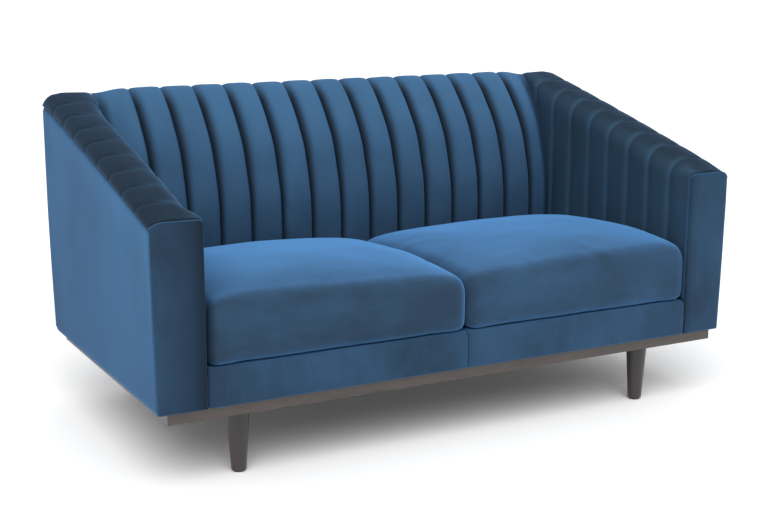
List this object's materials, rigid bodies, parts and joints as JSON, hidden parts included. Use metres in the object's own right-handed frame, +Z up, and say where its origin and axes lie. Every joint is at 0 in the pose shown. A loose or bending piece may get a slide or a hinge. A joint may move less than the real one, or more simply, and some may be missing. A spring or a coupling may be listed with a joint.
{
  "type": "two-seat sofa",
  "caption": "Compact velvet sofa with a channelled back and sloping channelled arms, loose seat cushions, a recessed plinth and tapered wooden legs.",
  "frame": {"origin": "on the floor, under the middle of the sofa's overall box", "axes": "+Z up, -Y the way a sitter faces, X across the sofa from its right-hand sitter to its left"},
  "size_m": [1.516, 0.7762, 0.7821],
  "materials": {
    "velvet": "blue cut-pile velvet with a strong nap sheen",
    "leg_wood": "dark stained beech, satin lacquer",
    "plinth_wood": "dark grey-brown stained timber, satin lacquer",
    "frame_timber": "raw sawn softwood",
    "fibreboard": "brown hardboard",
    "zinc_steel": "zinc plated",
    "glide_plastic": "black nylon",
    "black_lining": "black non-woven lining",
    "webbing": "elastic furniture webbing",
    "deck_felt": "felt under a dark platform cloth",
    "foam": "cream polyurethane seat foam",
    "zip_tape": "blue zip tape with closed coil"
  },
  "bodies": {
    "sofa": {"back_board": "fibreboard", "back_centre_post": "frame_timber", "back_channel_pad": "velvet", "back_outer_cover": "velvet", "back_top_rails": "frame_timber", "back_webbing": "webbing", "bolt_washers": "zinc_steel", "dust_cover": "black_lining", "frame_bolts": "zinc_steel", "frame_dowels": "frame_timber", "front_left_leg": "leg_wood", "front_right_leg": "leg_wood", "left_arm_bottom_rail": "frame_timber", "left_arm_channel_pad": "velvet", "left_arm_front_panel": "velvet", "left_arm_front_post": "frame_timber", "left_arm_inner_board": "fibreboard", "left_arm_outer_board": "fibreboard", "left_arm_outer_cover": "velvet", "left_arm_rear_post": "frame_timber", "left_arm_top_rail": "frame_timber", "left_back_post": "frame_timber", "left_base_border": "velvet", "left_seat_side_rail": "frame_timber", "leg_bearers": "frame_timber", "leg_glides": "glide_plastic", "leg_hanger_bolts": "zinc_steel", "leg_tee_nuts": "zinc_steel", "plinth_back_rail": "plinth_wood", "plinth_front_rail": "plinth_wood", "plinth_screws": "zinc_steel", "plinth_side_rails": "plinth_wood", "rear_left_leg": "leg_wood", "rear_right_leg": "leg_wood", "right_arm_bottom_rail": "frame_timber", "right_arm_channel_pad": "velvet", "right_arm_front_panel": "velvet", "right_arm_front_post": "frame_timber", "right_arm_inner_board": "fibreboard", "right_arm_outer_board": "fibreboard", "right_arm_outer_cover": "velvet", "right_arm_rear_post": "frame_timber", "right_arm_top_rail": "frame_timber", "right_back_post": "frame_timber", "right_base_border": "velvet", "right_seat_side_rail": "frame_timber", "seat_back_rail": "frame_timber", "seat_centre_rail": "frame_timber", "seat_corner_blocks": "frame_timber", "seat_deck_pad": "deck_felt", "seat_front_rail": "frame_timber", "seat_springs": "zinc_steel", "spring_clips": "zinc_steel"},
    "left_cushion": {"left_seat_cushion_core": "foam", "left_seat_cushion_cover": "velvet", "left_seat_cushion_zip": "zip_tape"},
    "right_cushion": {"right_seat_cushion_core": "foam", "right_seat_cushion_cover": "velvet", "right_seat_cushion_zip": "zip_tape"}
  },
  "joints": [
    {"name": "left_cushion_lift", "type": "slide", "parent": "sofa", "child": "left_cushion", "axis": [0, 0, 1], "range_m": [0, 0.54]},
    {"name": "right_cushion_lift", "type": "slide", "parent": "sofa", "child": "right_cushion", "axis": [0, 0, 1], "range_m": [0, 0.54]}
  ]
}
